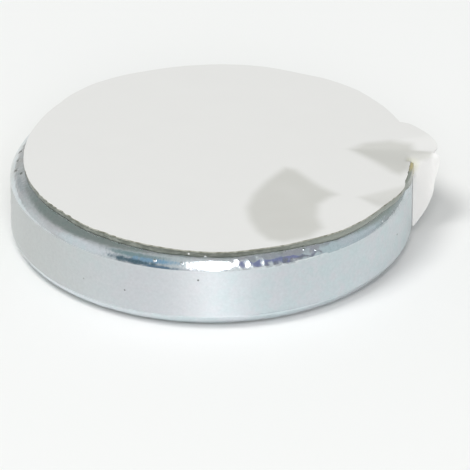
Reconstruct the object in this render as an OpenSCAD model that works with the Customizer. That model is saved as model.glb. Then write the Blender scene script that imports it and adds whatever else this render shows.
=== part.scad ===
// A plated disc magnet with an adhesive pad on one pole face. A paper release liner covers
// the pad, and its pull tab is creased, torn along the rim and half folded down.
// Origin at the centre of the bare pole face, +Z through the disc, +X towards the pull tab.

/* [Magnet disc] */
// Diameter of the disc
magnet_d = 20; // [16:0.5:30]
// Thickness of the disc
magnet_t = 4; // [3.8:0.1:8]
// Radius of the rounded rim at both pole faces
rim_r = 0.6; // [0.2:0.05:0.9]

/* [Adhesive pad] */
// Width by which the pad, and the round part of the liner, is smaller than the disc all round
pad_inset = 0.38; // [0.38:0.02:1.5]
// Thickness of the pad
pad_t = 0.18; // [0.08:0.01:0.5]
// How far the pad is stuck off the disc's centre, towards the pull tab
pad_shift = 0.36; // [0:0.02:0.38]

/* [Release liner] */
// Thickness of the liner paper
liner_t = 0.07; // [0.06:0.01:0.2]
// Reach of the pull tab beyond the magnet's wall, before it was folded
tab_reach = 1.36; // [0.8:0.02:1.8]
// Radius of the tab's rounded end
tab_r = 4; // [3:0.1:4.5]
// Distance of the tab's middle from the disc's centre line
tab_y = 0.1; // [0:0.05:0.6]

/* [Folded half of the tab] */
// Distance of the fold from the disc's centre line
fold_y = 0.95; // [0.7:0.05:1.2]
// Angle by which the front half of the tab is folded down
fold_angle = 75; // [60:1:85]
// Clearance between the magnet's wall and the torn edge of the folded half
flap_gap = 0.03; // [0.02:0.01:0.2]

/* [Creases in the liner] */
// Length of the main crease, from its tip in the liner to the end of the tab
main_crease_run = 4.5; // [3:0.1:6]
// Depth of the main crease at the end of the tab
main_crease_depth = 0.04; // [0.01:0.005:0.05]
// Angle between the main crease and the back edge of its dent
main_crease_back = 22; // [15:1:35]
// Angle between the main crease and the front edge of its dent
main_crease_front = 42; // [25:1:50]
// Length of the short crease, inwards from the liner's edge
short_crease_run = 1.9; // [1:0.1:3]
// Depth of the short crease at the liner's edge
short_crease_depth = 0.03; // [0.01:0.005:0.05]
// Direction of the short crease round the disc, clockwise from the pull tab
short_crease_turn = 25; // [24:1:40]
// Angle between the short crease and each edge of its dent
short_crease_side = 36; // [20:1:45]

/* [Hidden] */
$fn = 120;

magnet_r = magnet_d / 2;
pad_r = magnet_r - pad_inset;
liner_bottom = magnet_t + pad_t;
liner_middle = liner_bottom + liner_t / 2;
fold_lap = liner_t / 2 * tan(fold_angle / 2);
liner_top = liner_bottom + liner_t;
tab_x = magnet_r + tab_reach - tab_r;
flap_x = magnet_r + flap_gap;
fold_end_x = tab_x + sqrt(pow(tab_r, 2) - pow(fold_y - tab_y, 2));
beyond = magnet_d;

// Half of the disc's section, from its axis to its wall
module disc_section() {
    translate([0, rim_r]) square([magnet_r, magnet_t - 2 * rim_r]);
    square([magnet_r - rim_r, magnet_t]);
    for (z = [rim_r, magnet_t - rim_r])
        translate([magnet_r - rim_r, z]) circle(rim_r);
}

// Round die-cut outline that the pad and the liner share
module pad_outline() {
    translate([pad_shift, 0]) circle(pad_r);
}

// Round end of the whole tab, laid out flat
module tab_outline() {
    translate([tab_x, tab_y]) circle(tab_r);
}

// The part of the tab behind the fold, which still lies level. It laps the fold, so that the
// upper faces of the two halves meet in one edge
module level_half() {
    intersection() {
        tab_outline();
        translate([0, fold_y - fold_lap]) square(beyond);
    }
}

// The part of the tab in front of the fold, torn off along the magnet's wall, laid out flat
module torn_half() {
    intersection() {
        tab_outline();
        translate([flap_x, fold_y + fold_lap - beyond]) square(beyond);
    }
}

// The half of the tab that hangs beside the wall, turned down about the middle of the paper
module hanging_flap() {
    translate([0, fold_y, liner_middle])
        rotate([fold_angle, 0, 0])
            translate([0, -fold_y, -liner_t / 2])
                linear_extrude(liner_t) torn_half();
}

// The space above one sloping side of a dent. The slope starts level along its edge, which
// leaves the crease's tip at the given angle, and falls by the given rate along the crease
module above_slope(edge_angle, fall) {
    tilt = atan(fall / sin(edge_angle));
    rotate([0, 0, edge_angle])
        rotate([tilt, 0, 0])
            translate([-beyond / 2, -beyond / 2, 0]) cube(beyond);
}

// A dent with its tip at the origin, which deepens along +X between two sloping sides
module dent(run, depth, back_angle, front_angle) {
    fall = depth / run;
    intersection() {
        above_slope(back_angle, fall);
        mirror([0, 1, 0]) above_slope(front_angle, fall);
        translate([0, -beyond / 2, -liner_t]) cube([beyond, beyond, 2 * liner_t]);
    }
}

// The crease that runs from the tab's fold into the liner
module main_crease() {
    translate([fold_end_x - main_crease_run, fold_y, liner_top])
        dent(main_crease_run, main_crease_depth, main_crease_back, main_crease_front);
}

// The short crease at the torn end of the tab
module short_crease() {
    translate([pad_shift, 0, liner_top])
        rotate([0, 0, -short_crease_turn])
            translate([pad_r - short_crease_run, 0, 0])
                dent(short_crease_run, short_crease_depth, short_crease_side, short_crease_side);
}

// Sintered disc, plated all over
module magnet_disc() {
    color("silver") rotate_extrude() disc_section();
}

// Sticky layer on the upper pole face, hidden but for its edge
module adhesive_pad() {
    color("darkkhaki") translate([0, 0, magnet_t]) linear_extrude(pad_t) pad_outline();
}

// One sheet of paper: the round cover, the level half of its tab and the hanging half
module release_liner() {
    color("whitesmoke") difference() {
        union() {
            translate([0, 0, liner_bottom]) linear_extrude(liner_t) {
                pad_outline();
                level_half();
            }
            hanging_flap();
        }
        main_crease();
        short_crease();
    }
}

magnet_disc();
adhesive_pad();
release_liner();
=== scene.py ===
"""Dresses the disc magnet: plated disc, adhesive pad, and paper liner with its folded tab.

Shapes are worked out in millimetres in the part's own frame, and add_piece() turns them into metres.
Angles round the disc are in degrees, anticlockwise from +X as seen from above.
"""

import math

import bpy
import numpy as np
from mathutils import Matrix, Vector, noise
from mathutils.geometry import delaunay_2d_cdt


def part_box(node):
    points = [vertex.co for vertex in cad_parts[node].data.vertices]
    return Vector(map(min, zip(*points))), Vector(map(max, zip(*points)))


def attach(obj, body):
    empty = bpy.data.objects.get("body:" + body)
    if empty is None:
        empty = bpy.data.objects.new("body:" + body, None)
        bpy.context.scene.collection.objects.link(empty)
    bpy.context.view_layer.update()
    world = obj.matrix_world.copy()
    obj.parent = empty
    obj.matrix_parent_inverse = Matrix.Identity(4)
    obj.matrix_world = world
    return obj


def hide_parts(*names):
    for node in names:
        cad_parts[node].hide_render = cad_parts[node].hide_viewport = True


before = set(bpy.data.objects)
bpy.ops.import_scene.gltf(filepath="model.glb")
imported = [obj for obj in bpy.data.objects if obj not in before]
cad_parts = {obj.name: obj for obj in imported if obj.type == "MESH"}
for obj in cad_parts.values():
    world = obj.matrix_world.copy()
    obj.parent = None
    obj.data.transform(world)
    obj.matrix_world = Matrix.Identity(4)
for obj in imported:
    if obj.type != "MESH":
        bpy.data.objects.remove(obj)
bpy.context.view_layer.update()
MM = 0.001


def box_mm(node):
    """Lowest and highest corner of a CAD node, in millimetres."""
    low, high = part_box(node)
    return Vector(low) / MM, Vector(high) / MM


# Sizes that the CAD settles
magnet_low, magnet_high = box_mm("magnet_disc")
MAGNET_R = (magnet_high.x - magnet_low.x) / 2
MAGNET_T = magnet_high.z
PAD_TOP = box_mm("adhesive_pad")[1].z
LINER_TOP = box_mm("release_liner")[1].z
LINER_T = LINER_TOP - PAD_TOP

# Plated disc. Its rim is an arc from the flat face to the wall, where it ends in an edge of
# EDGE_ANGLE degrees
RIM_HEIGHT = 0.72
EDGE_ANGLE = 20
RIM_R = RIM_HEIGHT / (1 - math.sin(math.radians(EDGE_ANGLE)))
# Radius of the flat face inside the rim
RIM_X = MAGNET_R - RIM_R * math.cos(math.radians(EDGE_ANGLE))
# Points in each ring, steps from ring to ring on the rim and on the wall, and the radii of the
# rings on a flat face as shares of its own
DISC_STEPS = 720
RIM_STEPS = 16
WALL_STEPS = 36
FACE_SHARES = (0.25, 0.5, 0.75, 0.9)
# How much of the rim's finish a ring has. Half is for the flat faces and the edge at the wall
ON_RIM = 1.0
HALF_RIM = 0.5
ON_WALL = 0.0
# The rings lie this far inside the CAD's wall, which leaves room for lumps and waves
WALL_ROOM = 0.01
LUMP_HEIGHT = 0.006
WAVE_HEIGHT = 0.003
PIT_DEPTH = 0.05

# Paper cover: where the real one is stuck, and how far its hand-cut edge departs from round, by angle
COVER_X = 0.38
COVER_Y = 0.12
COVER_R = 9.67
COVER_EDGE = [
    (-180, 0.03), (-164, 0.035), (-152, -0.01), (-142, -0.09), (-135, -0.01), (-127, -0.01),
    (-114, 0.07), (-90, 0.21), (-75, 0.05), (-63, 0.0), (-52, 0.07), (-45, 0.03), (-32, -0.065),
    (-20, 0.05), (-15, -0.12), (-7, -0.165), (-3.5, -0.16), (-1.5, -0.09), (10, 0.0), (23, 0.06),
    (34, 0.11), (46, 0.2), (55, 0.17), (65, 0.06), (77, 0.14), (88, 0.15), (99, 0.12), (111, 0.13),
    (122, 0.25), (130, 0.29), (138, 0.23), (147, 0.1), (160, 0.04), (180, 0.03),
]
# The cover's top lies this far under the CAD's, and swells and sinks by no more than half of it
TOP_ROOM = 0.012
SWELL_HEIGHT = 0.006

# How far the pad's edge lies inside the paper's, by angle
PAD_INSET = [
    (-180, 0.08), (-165, 0.05), (-125, 0.04), (-116, 0.1), (-108, 0.08), (-100, 0.18), (-90, 0.24),
    (-75, 0.22), (-50, 0.17), (0, 0.15), (180, 0.08),
]
# In the tear the pad shows beyond the paper, this far inside the cover's mean radius
TORN_INSET = 0.01
# How much further in the pad's edge lies under the fold
FOLD_INSET = 0.38
# How far down the rim the pad's edge droops at most, and how far its foot spreads beyond its top
PAD_DROOP = 0.24
PAD_SPREAD = 0.05
# Points in each ring of the pad, and the radii of the rings on its top and underside as shares
PAD_STEPS = 480
PAD_TOP_SHARES = (0.2, 0.4, 0.55, 0.66, 0.74, 0.8, 0.85, 0.89, 0.92, 0.945, 0.965, 0.98, 0.99, 1.0)
PAD_UNDER_SHARES = (0.97, 0.94, 0.9, 0.6, 0.3)

# Tab. Its fold runs out along y = FOLD_Y to a notch, and turns its front half down by FOLD_ANGLE.
# The paper curves from BEND_X outwards, over a length that shrinks from the rim to the notch
FOLD_Y = 0.8
FOLD_ANGLE = 78
NOTCH_X = 11.05
BEND_X = 9.6
BEND_AT_RIM = 1.25
BEND_SHRINKS = 0.95
# Main crease: its tip on the line of the fold, its depth at the notch, and the angles from it to
# the two sides of its dent
CREASE_TIP_X = 6.7
CREASE_DEPTH = 0.2
CREASE_BACK = 22
CREASE_FRONT = 42
# Depth of the short crease, whose outline is SHORT_PATCH
SHORT_DEPTH = 0.035
# The tear frees the hanging half from the cover. It runs along the rim to this point, and the
# half's inner edge lies at FLAP_IN_X
TEAR_Y = -0.3
TEAR_END_X = 9.93
FLAP_IN_X = 10.0
# Edge of the level half, from the notch to where it meets the cover
LEVEL_EDGE = [
    (11.05, 0.8), (11.12, 0.95), (11.21, 1.15), (11.26, 1.5), (11.06, 2.0), (10.58, 2.72), (9.97, 3.43),
    (9.43, 3.68),
]
# Outer edge of the hanging half, from its tip to the notch: x, and distance along the paper from
# the fold
FLAP_EDGE = [
    (10.04, 4.0), (10.31, 3.6), (10.55, 3.2), (10.76, 2.8), (10.96, 2.3), (11.06, 1.95), (11.11, 1.55),
    (11.19, 1.2), (11.28, 0.88), (11.34, 0.6), (11.355, 0.4), (11.33, 0.22), (11.23, 0.09), (11.05, 0.0),
]

# Grey patch and painted crease shade on the liner, as points in the disc's frame
GREY_PATCH = [
    (3.68, -1.2), (2.77, -2.55), (2.12, -3.9), (1.77, -5.31), (1.93, -6.59), (2.28, -7.69),
    (2.81, -8.5), (3.52, -8.75), (4.79, -8.25), (5.42, -7.33), (5.17, -6.22), (5.24, -4.95),
    (5.75, -4.25), (6.15, -3.95), (5.4, -3.2), (4.77, -2.35), (4.14, -1.4),
]
CREASE_SHADE_PATCH = [
    (6.7, 0.8), (7.6, 1.5), (8.9, 1.8), (10.1, 1.6), (10.25, 0.8), (9.95, -1.4), (9.35, -2.1),
    (8.85, -1.75), (8.4, -1.15), (7.5, -0.1),
]
FOLD_SHADE_PATCH = [
    (9.6, 0.95), (11.0, 0.84), (10.95, 0.56), (10.6, 0.32), (10.14, 0.12), (9.9, -0.25), (9.6, -0.2),
]
SHORT_PATCH = [(7.1, -4.2), (8.8, -3.3), (10.0, -2.7), (10.0, -4.9), (8.1, -5.3)]


def smooth(value, low, high):
    """0 at low, 1 at high, and an even curve between them."""
    t = min(max((value - low) / (high - low), 0.0), 1.0)
    return t * t * (3 - 2 * t)


def stretch(turn, start, full_from, full_to, end):
    """1 along a stretch of an edge, by angle, and 0 before its start and after its end."""
    return smooth(turn, start, full_from) * smooth(-turn, -end, -full_to)


def wobble(x, y, z, size, seed):
    """Smooth noise from -1 to 1 whose features are about size across."""
    return noise.noise(Vector((x / size + 17.3 * seed, y / size - 9.1 * seed, z / size + 4.7 * seed)))


def between(knots, place):
    """Even curve through (place, value) pairs, at one place."""
    for (a, low), (b, high) in zip(knots, knots[1:]):
        if place <= b:
            return low + (high - low) * smooth(place, a, b)
    return knots[-1][1]


def distance_to_edge(x, y, outline):
    """Distance from a point to a closed outline, positive inside it."""
    nearest = 1e9
    inside = False
    for (ax, ay), (bx, by) in zip(outline, outline[1:] + outline[:1]):
        ex, ey = bx - ax, by - ay
        t = min(max(((x - ax) * ex + (y - ay) * ey) / (ex * ex + ey * ey), 0), 1)
        nearest = min(nearest, math.hypot(x - ax - t * ex, y - ay - t * ey))
        if (ay > y) != (by > y) and x < ax + (y - ay) * ex / ey:
            inside = not inside
    return nearest if inside else -nearest


# Scene helpers


def add_piece(name, points, faces, material, node, flat_from=None, values=None):
    """Makes a piece from points in millimetres, with named values for each of them that its
    material reads. Faces from number flat_from on stay flat shaded."""
    mesh = bpy.data.meshes.new(name)
    mesh.from_pydata([(x * MM, y * MM, z * MM) for x, y, z in points], [], faces)
    mesh.validate()
    for polygon in mesh.polygons:
        polygon.use_smooth = flat_from is None or polygon.index < flat_from
    for key, numbers in (values or {}).items():
        mesh.attributes.new(key, "FLOAT", "POINT").data.foreach_set("value", numbers)
    mesh.materials.append(material)
    piece = bpy.data.objects.new(name, mesh)
    bpy.context.scene.collection.objects.link(piece)
    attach(piece, "root")
    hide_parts(node)
    return piece


class Nodes:
    """Short calls for building a node tree."""

    def __init__(self, tree):
        self.tree = tree
        tree.nodes.clear()

    def add(self, kind, outlet=0, settings=None, **inlets):
        """Adds a node and returns one of its outlets. An inlet goes by its number, such as _0, or
        by its name, and takes a value or the outlet of another node."""
        node = self.tree.nodes.new(kind)
        for key, value in (settings or {}).items():
            setattr(node, key, value)
        for key, value in inlets.items():
            number = key[1:]
            socket = node.inputs[int(number) if number.isdigit() else key.replace("_", " ")]
            if isinstance(value, bpy.types.NodeSocket):
                self.tree.links.new(value, socket)
            else:
                socket.default_value = value
        return node.outputs[outlet] if node.outputs else node

    def math(self, operation, a, b=0.0, c=0.0):
        return self.add("ShaderNodeMath", settings={"operation": operation}, _0=a, _1=b, _2=c)

    def times(self, a, b):
        return self.math("MULTIPLY", a, b)

    def mix(self, factor, a, b, blend="MIX"):
        settings = {"data_type": "RGBA", "blend_type": blend}
        return self.add("ShaderNodeMix", 2, settings, _0=factor, _6=a, _7=b)

    def ramp(self, value, low, high, to_low=0.0, to_high=1.0):
        return self.add(
            "ShaderNodeMapRange", settings={"interpolation_type": "SMOOTHSTEP"},
            _0=value, _1=low, _2=high, _3=to_low, _4=to_high,
        )

    def millimetres(self):
        place = self.add("ShaderNodeTexCoord", "Object")
        return self.add("ShaderNodeVectorMath", settings={"operation": "SCALE"}, _0=place, _3=1 / MM)

    def across(self, where):
        """The x of a place, which grows from the left of the disc to the tab."""
        return self.add("ShaderNodeSeparateXYZ", Vector=where)

    def distance(self, where, place):
        return self.add("ShaderNodeVectorMath", 1, {"operation": "DISTANCE"}, _0=where, _1=place)

    def noise(self, where, size, detail=3.0, roughness=0.5):
        return self.add(
            "ShaderNodeTexNoise", Vector=where, Scale=1 / size, Detail=detail, Roughness=roughness,
        )

    def attribute(self, name):
        return self.add("ShaderNodeAttribute", 2, {"attribute_name": name})

    def bump(self, height_mm):
        return self.add("ShaderNodeBump", Height=height_mm, Distance=MM)


def new_material(name):
    material = bpy.data.materials.new(name)
    material.use_nodes = True
    return material, Nodes(material.node_tree)


# Materials

# Pits in the plating: place and radius
RIM_PITS = [
    (-9.51, 1.30, 3.78, 0.15), (-9.60, 0.40, 3.76, 0.09),
    (-9.68, -0.51, 3.72, 0.12), (-9.40, -1.10, 3.86, 0.1),
]
WALL_PITS = [(-4.19, -9.08, 1.74, 0.06), (-0.61, -9.98, 2.78, 0.07), (9.17, -3.99, 2.02, 0.06)]
# Raised grains on the rim that catch the light: place and radius
RIM_GRAINS = [
    (-2.71, -9.44, 3.59, 0.10), (-1.41, -9.72, 3.59, 0.10), (-0.25, -9.43, 3.90, 0.07),
    (4.52, -8.58, 3.72, 0.08), (5.10, -8.40, 3.59, 0.07), (8.40, -5.25, 3.48, 0.08),
]
# Painted glints on the adhesive's edge, white dots that stand in for highlights: place and radius
PAINTED_GLINTS = [(-1.07, -9.5, 3.97, 0.08), (-0.26, -9.55, 3.85, 0.08)]
# Middles of the dull stain on the rim, of the amber adhesive in the tear, which is lighter there
# as a painted highlight, and of the paper that is yellowed beside it
STAIN_AT = (-9.6, 0.6, 3.8)
AMBER_AND_HIGHLIGHT_AT = (9.9, -0.35, PAD_TOP)
YELLOWED_AT = (10.0, -0.1, 3.8)

# Colours of the plate: its clouds, its warmer patches, painted shade on the left of its wall, a
# painted reflection on the wall just left of the front, the pits and the stain
PLATE_BLUE = (0.660, 0.738, 0.760, 1)
PLATE_PALE = (0.700, 0.740, 0.770, 1)
PLATE_WARM = (0.725, 0.735, 0.770, 1)
PLATE_LEFT_SHADE = (0.630, 0.650, 0.645, 1)
PLATE_FRONT_REFLECTION = (0.735, 0.735, 0.760, 1)
PIT_COLOUR = (0.12, 0.13, 0.12, 1)
STAIN_COLOUR = (0.52, 0.52, 0.50, 1)
# Colours of the adhesive: its streaks, its paler side towards the tab, the amber with its painted
# highlight, and the painted glints
OLIVE_DARK = (0.115, 0.128, 0.103, 1)
OLIVE_LIGHT = (0.225, 0.24, 0.205, 1)
OLIVE_PALE = (0.30, 0.325, 0.285, 1)
AMBER_AND_HIGHLIGHT = (0.50, 0.43, 0.20, 1)
PAINTED_GLINT_COLOUR = (0.85, 0.85, 0.83, 1)
# Colours of the paper: its clouds, its grey patch and painted crease shade, by the tear, and its cut edge
PAPER_LOW = (0.770, 0.757, 0.735, 1)
PAPER_HIGH = (0.787, 0.774, 0.752, 1)
PAPER_GREY_AND_SHADE = (0.605, 0.595, 0.56, 1)
PAPER_YELLOWED = (0.66, 0.65, 0.50, 1)
CUT_CLEAN = (0.42, 0.42, 0.36, 1)
CUT_STAINED = (0.20, 0.20, 0.15, 1)


def plate_tint(n, where, rim, clouds):
    """Cloudy tint of the plate. On the wall it has painted shade, greyer and darker, at the left, and a
    warmer painted reflection left of the front.
    """
    across = n.across(where)
    on_wall = n.math("SUBTRACT", 1.0, rim)
    shifted = n.add("ShaderNodeVectorMath", _0=where, _1=(31.0, 7.0, 3.0))
    warm = n.ramp(n.noise(shifted, 0.7, detail=3, roughness=0.6), 0.48, 0.68, to_high=0.6)
    # Painted shade darkens the wall towards the left, and a painted reflection warms it just left of the
    # front
    left_shade = n.ramp(across, -9.5, -2.0, to_low=0.9, to_high=0.0)
    front = n.times(n.ramp(across, -6.5, -3.0), n.ramp(across, -1.2, 1.2, to_low=0.65, to_high=0.0))
    tint = n.mix(n.ramp(clouds, 0.38, 0.62), PLATE_BLUE, PLATE_PALE)
    tint = n.mix(warm, tint, PLATE_WARM)
    tint = n.mix(n.times(left_shade, on_wall), tint, PLATE_LEFT_SHADE)
    return n.mix(n.times(front, on_wall), tint, PLATE_FRONT_REFLECTION)


def plate_shade(n, where, rim, fine, tone):
    """Lightness of the plate: finely mottled, and with painted shade low on the rim by the tab that dims
    its reflection there.
    """
    height = n.add("ShaderNodeSeparateXYZ", 2, Vector=where)
    # Painted shade: low on the rim towards the tab, which dims the rim's reflection there
    low_on_rim = n.ramp(height, 3.32, 3.52, to_low=1.0, to_high=0.0)
    by_the_tab = n.ramp(n.across(where), 6.0, 8.4, to_high=0.2)
    foot_shade = n.times(n.times(low_on_rim, by_the_tab), rim)
    return n.times(n.math("MULTIPLY_ADD", fine, 0.20, tone), n.math("SUBTRACT", 1.0, foot_shade))


def plate_pits(n, where):
    """1 in the deepest pits and 0 outside them: small ones all over, and those of the two lists."""
    scattered = n.add("ShaderNodeTexVoronoi", Vector=where, Scale=0.8, Randomness=1.0)
    pit = n.ramp(scattered, 0.022, 0.05, to_low=0.6, to_high=0.0)
    for *place, radius in RIM_PITS + WALL_PITS:
        hole = n.ramp(n.distance(where, place), radius * 0.4, radius, to_low=1.0, to_high=0.0)
        pit = n.math("MAXIMUM", pit, hole)
    return pit


def plate_relief(n, where, rim, fine, pit):
    """Height of the plate's surface, in millimetres: lumps, mottles, pits, grains and dents."""
    lump_height = n.math("MULTIPLY_ADD", rim, 0.007, 0.002)
    height = n.times(n.noise(where, 0.26, detail=2), lump_height)
    height = n.math("MULTIPLY_ADD", fine, 0.002, height)
    height = n.math("MULTIPLY_ADD", pit, -0.015, height)
    for *place, radius in RIM_GRAINS:
        grain = n.ramp(n.distance(where, place), 0.0, radius, to_low=radius * 0.35, to_high=0.0)
        height = n.math("ADD", height, grain)
    # Small dents where the discs were tumbled against each other
    cells = n.add(
        "ShaderNodeTexVoronoi", settings={"feature": "SMOOTH_F1"}, Vector=where, Scale=2.3, Smoothness=0.4,
    )
    return n.math("MULTIPLY_ADD", n.attribute("hammered"), n.times(cells, 0.045), height)


def plating(name, roughness, grain, tone):
    """Semi-bright plate, with a grain of the given strength that runs round the disc."""
    material, n = new_material(name)
    where = n.millimetres()
    rim = n.attribute("rim")
    clouds = n.noise(where, 1.3, detail=4, roughness=0.6)
    fine = n.noise(where, 0.16, detail=4, roughness=0.65)
    pit = plate_pits(n, where)
    tint = plate_tint(n, where, rim, clouds)
    colour = n.mix(1.0, tint, plate_shade(n, where, rim, fine, tone), blend="MULTIPLY")
    colour = n.mix(n.times(pit, 0.8), colour, PIT_COLOUR)
    stained = n.ramp(n.distance(where, STAIN_AT), 0.9, 2.6, to_low=1.0, to_high=0.0)
    blotches = n.ramp(n.noise(where, 0.5, detail=2), 0.3, 0.6, to_low=0.1, to_high=0.6)
    colour = n.mix(n.times(n.times(stained, blotches), rim), colour, STAIN_COLOUR)
    shader = n.add(
        "ShaderNodeBsdfPrincipled", Base_Color=colour, Metallic=1.0,
        Roughness=n.math("MULTIPLY_ADD", clouds, 0.08, roughness),
        Normal=n.bump(plate_relief(n, where, rim, fine, pit)),
        Anisotropic=grain, Anisotropic_Rotation=0.25,
        Tangent=n.add("ShaderNodeTangent", settings={"direction_type": "RADIAL", "axis": "Z"}),
    )
    n.add("ShaderNodeOutputMaterial", Surface=shader)
    return material


def adhesive():
    """Olive sticky layer, amber with a painted highlight where the liner is torn off it, and with painted
    glints.
    """
    material, n = new_material("adhesive")
    where = n.millimetres()
    spots = n.noise(where, 0.25, detail=3)
    layers = n.add("ShaderNodeVectorMath", settings={"operation": "MULTIPLY"}, _0=where, _1=(1.0, 1.0, 2.4))
    streaks = n.ramp(n.noise(layers, 0.5, detail=4, roughness=0.65), 0.40, 0.68)
    colour = n.mix(streaks, OLIVE_DARK, OLIVE_LIGHT)
    colour = n.mix(n.ramp(n.across(where), 2.0, 7.0, to_high=0.8), colour, OLIVE_PALE)
    # The amber spot is also a painted highlight, lighter than the glue around it
    amber = n.ramp(n.distance(where, AMBER_AND_HIGHLIGHT_AT), 0.45, 1.3, to_low=1.0, to_high=0.0)
    colour = n.mix(amber, colour, AMBER_AND_HIGHLIGHT)
    # White dots of painted glint on the adhesive's edge
    for *place, radius in PAINTED_GLINTS:
        glint_spot = n.ramp(n.distance(where, place), radius * 0.5, radius, to_low=1.0, to_high=0.0)
        colour = n.mix(glint_spot, colour, PAINTED_GLINT_COLOUR)
    shader = n.add(
        "ShaderNodeBsdfPrincipled", Base_Color=colour, Roughness=0.35, Normal=n.bump(n.times(spots, 0.02)),
        Specular_IOR_Level=0.5, Coat_Weight=0.6, Coat_Roughness=0.12,
    )
    n.add("ShaderNodeOutputMaterial", Surface=shader)
    return material


def liner_paper():
    """Off-white coated paper, greyer in a patch and with painted shade in its creases, yellowed by the
    tear.
    """
    material, n = new_material("liner_paper")
    where = n.millimetres()
    fibres = n.noise(where, 0.07, detail=4, roughness=0.7)
    waves = n.noise(where, 0.8, detail=2)
    colour = n.mix(n.noise(where, 2.2, detail=3), PAPER_LOW, PAPER_HIGH)
    # Grey patch, and painted shade in the creases and by the fold
    colour = n.mix(n.attribute("grey"), colour, PAPER_GREY_AND_SHADE)
    yellowed = n.ramp(n.distance(where, YELLOWED_AT), 0.1, 0.6, to_low=0.7, to_high=0.0)
    colour = n.mix(yellowed, colour, PAPER_YELLOWED)
    shader = n.add(
        "ShaderNodeBsdfPrincipled", Base_Color=colour, Roughness=0.55, Specular_IOR_Level=0.3,
        Normal=n.bump(n.math("MULTIPLY_ADD", fibres, 0.0015, n.times(waves, 0.004))),
    )
    n.add("ShaderNodeOutputMaterial", Surface=shader)
    return material


def paper_cut():
    """Cut edge of the paper, stained by the adhesive that creeps up it."""
    material, n = new_material("paper_cut")
    stain = n.ramp(n.noise(n.millimetres(), 0.3, detail=3), 0.4, 0.65)
    shader = n.add(
        "ShaderNodeBsdfPrincipled", Base_Color=n.mix(stain, CUT_CLEAN, CUT_STAINED), Roughness=0.7,
        Specular_IOR_Level=0.2,
    )
    n.add("ShaderNodeOutputMaterial", Surface=shader)
    return material


# Plated disc


def disc_top(radius):
    """Height of the disc's upper face, which falls away over the rounded rim."""
    return MAGNET_T - RIM_R + math.sqrt(max(RIM_R ** 2 - max(radius - RIM_X, 0) ** 2, 0))


def disc_profile():
    """Radius, height and rim share of each ring, from the middle of the top face to that of the bottom."""
    start = math.radians(EDGE_ANGLE)
    arc = []
    for i in range(RIM_STEPS + 1):
        angle = math.pi / 2 + (start - math.pi / 2) * i / RIM_STEPS
        share = HALF_RIM if i == RIM_STEPS else ON_RIM
        arc.append((RIM_X + RIM_R * math.cos(angle), MAGNET_T - RIM_R + RIM_R * math.sin(angle), share))
    top = [(RIM_X * part, MAGNET_T, HALF_RIM) for part in FACE_SHARES] + arc
    wall_top = MAGNET_T - RIM_HEIGHT
    wall_drop = wall_top - RIM_HEIGHT
    wall = [(MAGNET_R, wall_top - wall_drop * i / WALL_STEPS, ON_WALL) for i in range(1, WALL_STEPS)]
    bottom = [(r, MAGNET_T - z, share) for r, z, share in reversed(top)]
    return top + wall + bottom


def disc_offset(place, share):
    """How far lumps and waves lift the rim or wall at a place, and pits sink it."""
    lump = LUMP_HEIGHT * share * wobble(*place, 0.36, 1)
    wave = WAVE_HEIGHT * wobble(*place, 2.5, 2)
    pit = 0.0
    for *middle, size in RIM_PITS:
        pit += PIT_DEPTH * (1 - smooth(math.dist(middle, place), 0.0, size * 1.3))
    return lump + wave - pit


def make_magnet(material, rim_material):
    """The disc as one closed skin of rings. Its rim has its own material and ends in an edge."""
    profile = disc_profile()
    points = [(0, 0, MAGNET_T)]
    rim = [HALF_RIM]
    hammered = [0.0]
    for radius, height, share in profile:
        for step in range(DISC_STEPS):
            angle = 2 * math.pi * step / DISC_STEPS
            x, y = math.cos(angle), math.sin(angle)
            r = radius - WALL_ROOM
            # The flat faces have no lumps, waves or pits
            if radius > MAGNET_R - 1:
                r += disc_offset((x * radius, y * radius, height), share)
            points.append((x * r, y * r, height))
            rim.append(share)
            hammered.append(share * stretch(math.degrees(angle) - 360, -89, -82, -58, -45))
    points.append((0, 0, 0))
    rim.append(HALF_RIM)
    hammered.append(0.0)
    faces = []
    last = len(profile) - 1

    def at(row, step):
        return 1 + row * DISC_STEPS + step % DISC_STEPS

    for step in range(DISC_STEPS):
        faces.append((0, at(0, step), at(0, step + 1)))
        faces.append((len(points) - 1, at(last, step + 1), at(last, step)))
        for row in range(last):
            faces.append((at(row, step), at(row + 1, step), at(row + 1, step + 1), at(row, step + 1)))
    piece = add_piece(
        "plated_disc", points, faces, material, "magnet_disc",
        values={"rim": rim, "hammered": hammered},
    )
    piece.data.materials.append(rim_material)
    for polygon in piece.data.polygons:
        height = polygon.center.z / MM
        away = math.hypot(polygon.center.x, polygon.center.y) / MM
        if away > RIM_X and not RIM_HEIGHT < height < MAGNET_T - RIM_HEIGHT:
            polygon.material_index = 1
    upper_edge = len(FACE_SHARES) + RIM_STEPS
    for edge in piece.data.edges:
        row, other_row = ((end - 1) // DISC_STEPS for end in edge.vertices)
        if row == other_row and row in (upper_edge, last - upper_edge):
            edge.use_edge_sharp = True
    return piece


# Liner surface that the pad and the paper share


def dent_depth(x, y):
    """How far the main crease and the short one press the paper down at a point."""
    depth = 0.0
    along = x - CREASE_TIP_X
    if along > 0:
        off = y - FOLD_Y
        half = along * math.tan(math.radians(CREASE_BACK if off > 0 else CREASE_FRONT))
        share = smooth(1 - abs(off) / half, 0.0, 1.0)
        depth = CREASE_DEPTH * min(along / (NOTCH_X - CREASE_TIP_X), 1.0) * share
    away = distance_to_edge(x, y, SHORT_PATCH)
    return depth + SHORT_DEPTH * smooth(away, 0.0, 0.7)


def liner_height(x, y):
    """Top of the paper where it lies on the disc. It stays just under the CAD's top."""
    swell = SWELL_HEIGHT * wobble(x, y, 0, 3.0, 3)
    return LINER_TOP - TOP_ROOM + swell - dent_depth(x, y)


def turn_of(degrees):
    """The same angle between -180 and 180 degrees."""
    return (degrees + 180) % 360 - 180


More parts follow.
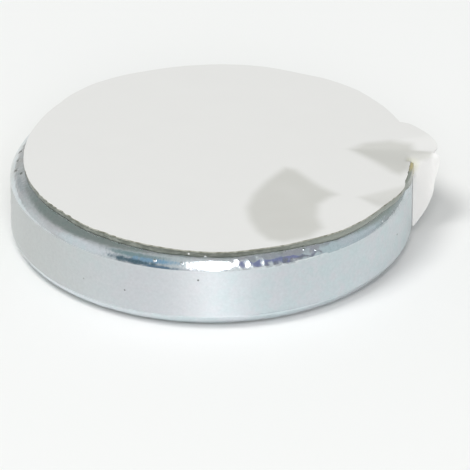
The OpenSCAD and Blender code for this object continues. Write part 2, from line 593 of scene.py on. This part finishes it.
def paper_edge(angle):
    """Radius of the paper's round edge: ragged at the front left, torn in beside the tab."""
    x, y = COVER_R * math.cos(math.radians(angle)), COVER_R * math.sin(math.radians(angle))
    turn = turn_of(angle)
    ragged = 0.02 + 0.08 * stretch(turn, -162, -150, -122, -108) + 0.03 * stretch(turn, -20, -14, -3, 1)
    lumps = 0.8 * wobble(x, y, 0, 0.4, 4) + 0.5 * wobble(x, y, 0, 0.15, 5)
    return COVER_R + between(COVER_EDGE, turn) + ragged * lumps


# Adhesive pad


def make_pad(material):
    """One closed layer. Its top follows the paper's underside, and its edge droops on the disc's rim."""
    points = [(COVER_X, COVER_Y, liner_height(COVER_X, COVER_Y) - LINER_T)]
    rings = []

    def ring(share, level):
        """Adds a ring at a share of the pad's radius, at level 0 on the disc and 1 under the paper."""
        row = []
        for step in range(PAD_STEPS):
            angle = 2 * math.pi * step / PAD_STEPS
            x, y = math.cos(angle), math.sin(angle)
            turn = turn_of(math.degrees(angle))
            torn = stretch(turn, -20, -14, 0, 14)
            under_fold = stretch(turn, -2.8, -1.8, 7, 10)
            set_back = between(PAD_INSET, turn) - between(COVER_EDGE, turn)
            r = (COVER_R - set_back * (1 - torn) - TORN_INSET * torn - FOLD_INSET * under_fold) * share
            if share == 1.0:
                r += PAD_SPREAD * (1 - level) + 0.02 * wobble(x * r, y * r, level, 0.3, 6)
            px, py = COVER_X + x * r, COVER_Y + y * r
            top = liner_height(px, py) - LINER_T
            rest = max(disc_top(math.hypot(px, py)), MAGNET_T - PAD_DROOP)
            row.append(len(points))
            points.append((px, py, rest + (top - rest) * level))
        rings.append(row)

    for share in PAD_TOP_SHARES:
        ring(share, 1.0)
    for level in (0.75, 0.5, 0.25, 0.0):
        ring(1.0, level)
    for share in PAD_UNDER_SHARES:
        ring(share, 0.0)
    points.append((COVER_X, COVER_Y, MAGNET_T))
    faces = []
    for step in range(PAD_STEPS):
        after = (step + 1) % PAD_STEPS
        faces.append((0, rings[0][step], rings[0][after]))
        faces.append((len(points) - 1, rings[-1][after], rings[-1][step]))
        for upper, lower in zip(rings, rings[1:]):
            faces.append((upper[step], lower[step], lower[after], upper[after]))
    return add_piece("sticky_pad", points, faces, material, "adhesive_pad")


# Paper liner


def evenly(points, gap):
    """The same open line with points about gap apart."""
    line = [points[0]]
    for (ax, ay), (bx, by) in zip(points, points[1:]):
        parts = max(1, round(math.hypot(bx - ax, by - ay) / gap))
        line += [(ax + (bx - ax) * i / parts, ay + (by - ay) * i / parts) for i in range(1, parts + 1)]
    return line


def rounded(points, parts=6):
    """Smooth open curve through the points."""
    ends = [points[0]] + points + [points[-1]]
    line = []
    for a, b, c, d in zip(ends, ends[1:], ends[2:], ends[3:]):
        for i in range(parts):
            t = i / parts
            line.append(tuple(
                q + 0.5 * t * (r - p + t * (2 * p - 5 * q + 4 * r - s + t * (3 * (q - r) + s - p)))
                for p, q, r, s in zip(a, b, c, d)
            ))
    return line + [points[-1]]


def flat_outline(gap):
    """Edge of the sheet laid out flat, anticlockwise, with the tear that frees the hanging half."""
    join_x, join_y = LEVEL_EDGE[-1]
    join = math.degrees(math.atan2(join_y - COVER_Y, join_x - COVER_X))
    tear = -math.degrees(math.asin((COVER_Y - TEAR_Y) / COVER_R)) - 0.3
    steps = round(math.radians(360 + tear - join) * COVER_R / gap)
    cover = []
    for i in range(1, steps + 1):
        degrees = join + (360 + tear - join) * i / steps
        r = paper_edge(degrees)
        angle = math.radians(degrees)
        cover.append((COVER_X + r * math.cos(angle), COVER_Y + r * math.sin(angle)))
    # The tear ends as a narrow slit between the cover's edge and the hanging half's
    tear_end = (TEAR_END_X, TEAR_Y + 0.02)
    inner = [(FLAP_IN_X, TEAR_Y - 0.1), (FLAP_IN_X, FOLD_Y - FLAP_EDGE[0][1] + 0.05)]
    outer = rounded([(x, FOLD_Y - along) for x, along in FLAP_EDGE])
    back = rounded(LEVEL_EDGE)
    return cover + evenly([cover[-1], tear_end] + inner + outer, gap)[1:] + evenly(back, gap)[1:]


def heading(along, bend):
    """How steeply the hanging half points down, in radians, at a distance from the fold."""
    return math.radians(FOLD_ANGLE) * smooth(along, -0.05, bend)


def folded(x, y):
    """Place of a point of the flat sheet on the finished one, at the middle of the paper."""
    level = liner_height(x, y) - LINER_T / 2
    torn_free = y < TEAR_Y and x > (TEAR_END_X + FLAP_IN_X) / 2
    if y >= FOLD_Y or x < BEND_X or (y < TEAR_Y and not torn_free):
        return (x, y, level)
    bend = BEND_AT_RIM - BEND_SHRINKS * smooth(x, 9.9, 11.1)
    steps = 24
    step = (FOLD_Y - y) / steps
    hang_y, hang_z = FOLD_Y, liner_height(x, FOLD_Y) - LINER_T / 2
    for i in range(steps):
        slope = heading((i + 0.5) * step, bend)
        hang_y -= step * math.cos(slope)
        hang_z -= step * math.sin(slope)
    free = 1.0 if torn_free else smooth(x, BEND_X, 10.02)
    return (x, y + (hang_y - y) * free, level + (hang_z - level) * free)


def grid_inside(outline, gap):
    """Points of a triangular grid that lie inside the flat sheet and not too near its edge."""
    row_step = 0.866
    sheet_length = 21.5
    tab_from = 8.5
    inner = []
    for row in range(int(2 * COVER_R / (gap * row_step)) + 2):
        y = COVER_Y - COVER_R + row * gap * row_step
        for column in range(int(sheet_length / gap)):
            x = COVER_X - COVER_R + gap / 2 * (row % 2) + column * gap
            radius = math.hypot(x - COVER_X, y - COVER_Y)
            well_inside = radius < COVER_R - 0.4 and x < tab_from
            near_edge = radius < COVER_R + 0.2 or x > tab_from
            if well_inside or near_edge and distance_to_edge(x, y, outline) > gap / 2:
                inner.append((x, y))
    return inner


def sheet_skin(middle, tri):
    """Points and faces of a closed sheet about its middle, and the pairs of points on its border.
    The upper skin comes first, then the lower one, and then the cut edge."""
    a, b, c = middle[tri[:, 0]], middle[tri[:, 1]], middle[tri[:, 2]]
    face_normals = np.cross(b - a, c - a)
    if face_normals[:, 2].sum() < 0:
        tri = tri[:, ::-1]
        face_normals = -face_normals
    normals = np.zeros_like(middle)
    for corner in range(3):
        np.add.at(normals, tri[:, corner], face_normals)
    normals /= np.linalg.norm(normals, axis=1)[:, None]
    upper = middle + normals * LINER_T / 2
    lower = middle - normals * LINER_T / 2
    total = len(middle)
    tri = tri.tolist()
    faces = [tuple(t) for t in tri]
    faces += [(c + total, b + total, a + total) for a, b, c in tri]
    sides = {(p, q): True for t in tri for p, q in zip(t, t[1:] + t[:1])}
    border = [(p, q) for p, q in sides if (q, p) not in sides]
    faces += [(q, p, p + total, q + total) for p, q in border]
    return upper.tolist() + lower.tolist(), faces, border


def greyness(x, y):
    """How grey the paper is at a point of the flat sheet, from 0 to 1, with painted shade along the
    creases.
    """
    tone = smooth(distance_to_edge(x, y, GREY_PATCH), -0.35, 0.3)
    tone *= 0.96 + 0.1 * wobble(x, y, 0, 1.2, 7)
    # Painted shade along the main crease, in the short crease and by the fold
    tone = max(tone, 1.1 * smooth(distance_to_edge(x, y, CREASE_SHADE_PATCH), -0.2, 0.55))
    tone = max(tone, 0.65 * smooth(distance_to_edge(x, y, SHORT_PATCH), -0.15, 0.35))
    if y < TEAR_Y and x > TEAR_END_X:
        tone = 0.0
    tone = max(tone, smooth(distance_to_edge(x, y, FOLD_SHADE_PATCH), -0.12, 0.12))
    return min(tone, 1.0)


def make_liner(material, cut_material):
    """A single thin sheet, closed all round, laid out flat and then folded."""
    gap = 0.125
    outline = flat_outline(gap)
    flat = [Vector(p) for p in outline + grid_inside(outline, gap)]
    flat_points, _, triangles, _, _, _ = delaunay_2d_cdt(flat, [], [list(range(len(outline)))], 1, 1e-6)
    middle = np.array([folded(p.x, p.y) for p in flat_points])
    points, faces, border = sheet_skin(middle, np.array([list(t) for t in triangles]))
    total = len(middle)
    flat_from = len(faces) - len(border)
    grey = [greyness(p.x, p.y) for p in flat_points]
    piece = add_piece(
        "paper_liner", points, faces, material, "release_liner",
        flat_from=flat_from, values={"grey": grey + grey},
    )
    piece.data.materials.append(cut_material)
    for polygon in piece.data.polygons[flat_from:]:
        if polygon.center.x < TEAR_END_X * MM:
            polygon.material_index = 1
    rim_pairs = {frozenset(pair) for pair in border}
    rim_pairs |= {frozenset((p + total, q + total)) for p, q in border}
    for edge in piece.data.edges:
        if frozenset(edge.vertices) in rim_pairs:
            edge.use_edge_sharp = True
    return piece


# Stage, light and camera


FLOOR_COLOUR = (0.900, 0.893, 0.877, 1)
# Half the floor's width, in metres
FLOOR_HALF = 3


def make_floor():
    """Pale floor, wide enough to fill the view from every side."""
    material, n = new_material("floor")
    shader = n.add(
        "ShaderNodeBsdfPrincipled", Base_Color=FLOOR_COLOUR, Roughness=0.9, Specular_IOR_Level=0.0,
    )
    n.add("ShaderNodeOutputMaterial", Surface=shader)
    corners = [(x * FLOOR_HALF, y * FLOOR_HALF, 0) for x, y in ((-1, -1), (1, -1), (1, 1), (-1, 1))]
    mesh = bpy.data.meshes.new("floor")
    mesh.from_pydata(corners, [], [(0, 1, 2, 3)])
    mesh.materials.append(material)
    floor = bpy.data.objects.new("floor", mesh)
    bpy.context.scene.collection.objects.link(floor)


def direction(azimuth, elevation):
    """Unit vector towards a place round the object. Azimuth 0 is the camera's side, 90 the right."""
    a, e = math.radians(azimuth), math.radians(elevation)
    return Vector((math.sin(a) * math.cos(e), -math.cos(a) * math.cos(e), math.sin(e)))


def make_lamp(name, azimuth, elevation, distance, width, height, share, seen_in_gloss=True):
    """An area lamp that gives the given share of a level surface's light. Lengths are in metres."""
    data = bpy.data.lights.new(name, "AREA")
    data.shape = "ELLIPSE"
    data.size = width
    data.size_y = height
    data.energy = share * math.pi ** 2 * distance ** 2 / math.sin(math.radians(elevation))
    lamp = bpy.data.objects.new(name, data)
    way = direction(azimuth, elevation)
    lamp.location = way * distance
    lamp.rotation_mode = "QUATERNION"
    lamp.rotation_quaternion = way.to_track_quat("Z", "Y")
    lamp.visible_glossy = seen_in_gloss
    bpy.context.scene.collection.objects.link(lamp)


ROOM_COLOUR = (0.66, 0.66, 0.66, 1)
# Round parts of the surroundings, each over those before it: azimuth, elevation, radius of its
# full colour and of its faded edge, all in degrees, and colour
ROOM_PARTS = [
    (180, 50, 30, 60, (0.39, 0.40, 0.39, 1)),
    (-92, 10, 15, 40, (0.67, 0.65, 0.64, 1)),
    (-120, 12, 14, 30, (0.62, 0.61, 0.60, 1)),
    (-109, 5, 8, 16, (0.73, 0.73, 0.72, 1)),
    (-74, 20, 13, 25, (0.80, 0.82, 0.83, 1)),
    (88, 15, 20, 45, (0.60, 0.66, 0.68, 1)),
    (120, 4, 8, 20, (0.45, 0.47, 0.455, 1)),
    (-131, 53, 18, 34, (0.285, 0.315, 0.29, 1)),
    (124, 36, 12, 30, (0.34, 0.37, 0.335, 1)),
    (-156, 14, 7, 16, (0.63, 0.63, 0.62, 1)),
    (-141, 15, 4, 10, (0.47, 0.49, 0.485, 1)),
    (72, 64, 12, 30, (0.42, 0.42, 0.44, 1)),
    (-55, 52, 7, 17, (0.27, 0.36, 0.36, 1)),
    (-44, 24, 9, 16, (0.10, 0.16, 0.195, 1)),
    (2, 24, 4, 22, (0.95, 0.97, 1.0, 1)),
    (-28, 14, 4, 12, (0.12, 0.20, 0.28, 1)),
    (-36, 42, 5, 14, (0.26, 0.43, 0.58, 1)),
    (49, 28, 8, 18, (0.24, 0.24, 0.28, 1)),
    (38, 38, 8, 17, (0.26, 0.27, 0.44, 1)),
]


def make_world():
    """Soft grey surroundings, with the light, dark and bluish parts that the plating mirrors."""
    world = bpy.data.worlds.new("surroundings")
    bpy.context.scene.world = world
    world.use_nodes = True
    n = Nodes(world.node_tree)
    way = n.add("ShaderNodeTexCoord", "Generated")
    colour = ROOM_COLOUR
    for azimuth, elevation, inner, outer, part in ROOM_PARTS:
        middle = tuple(direction(azimuth, elevation))
        near = n.add("ShaderNodeVectorMath", 1, {"operation": "DOT_PRODUCT"}, _0=way, _1=middle)
        inside = n.ramp(near, math.cos(math.radians(outer)), math.cos(math.radians(inner)))
        colour = n.mix(inside, colour, part)
    back = n.add("ShaderNodeBackground", Color=colour, Strength=1.0)
    n.add("ShaderNodeOutputWorld", Surface=back)


# Elevation in degrees, and distance and sensor in millimetres
CAMERA_ELEVATION = 28.9
CAMERA_DISTANCE = 320
SENSOR_WIDTH = 36
# Width of the photo, in pixels, and pixels to a millimetre of the disc
PHOTO_SIZE = 470
PIXELS_PER_MM = 20.153
# Where the disc's axis meets the liner's top in the photo, in pixels
LINER_MIDDLE_AT = (211.3, 156.2)


def make_camera():
    """Long lens at the photo's angle, aimed so that the disc lies where the photo shows it."""
    data = bpy.data.cameras.new("camera")
    data.sensor_width = SENSOR_WIDTH
    data.lens = SENSOR_WIDTH * PIXELS_PER_MM * CAMERA_DISTANCE / PHOTO_SIZE
    data.clip_start = 0.01
    data.clip_end = 10
    camera = bpy.data.objects.new("camera", data)
    back = direction(0, CAMERA_ELEVATION)
    right = Vector((1, 0, 0))
    up = back.cross(right)
    aim = Vector((0, 0, LINER_TOP))
    aim += right * (PHOTO_SIZE / 2 - LINER_MIDDLE_AT[0]) / PIXELS_PER_MM
    aim -= up * (PHOTO_SIZE / 2 - LINER_MIDDLE_AT[1]) / PIXELS_PER_MM
    camera.location = (aim + back * CAMERA_DISTANCE) * MM
    camera.rotation_mode = "QUATERNION"
    camera.rotation_quaternion = back.to_track_quat("Z", "Y")
    bpy.context.scene.collection.objects.link(camera)
    bpy.context.scene.camera = camera


# The whole scene

wall_plating = plating("plating", roughness=0.37, grain=0.8, tone=0.90)
# The rim's lower tone, 0.86 against the wall's 0.90, is painted shade that dims its reflections beside the
# wall
rim_plating = plating("plating_rim", roughness=0.11, grain=0.0, tone=0.86)
make_magnet(wall_plating, rim_plating)
make_pad(adhesive())
make_liner(liner_paper(), paper_cut())
make_floor()
make_world()
make_lamp("front_lamp", azimuth=2, elevation=38, distance=1.0, width=0.33, height=0.88, share=0.25)
make_lamp(
    "left_lamp", azimuth=-52, elevation=64, distance=1.0, width=0.4, height=0.4, share=0.36,
    seen_in_gloss=False,
)
make_camera()
bpy.context.scene.view_settings.view_transform = "Standard"
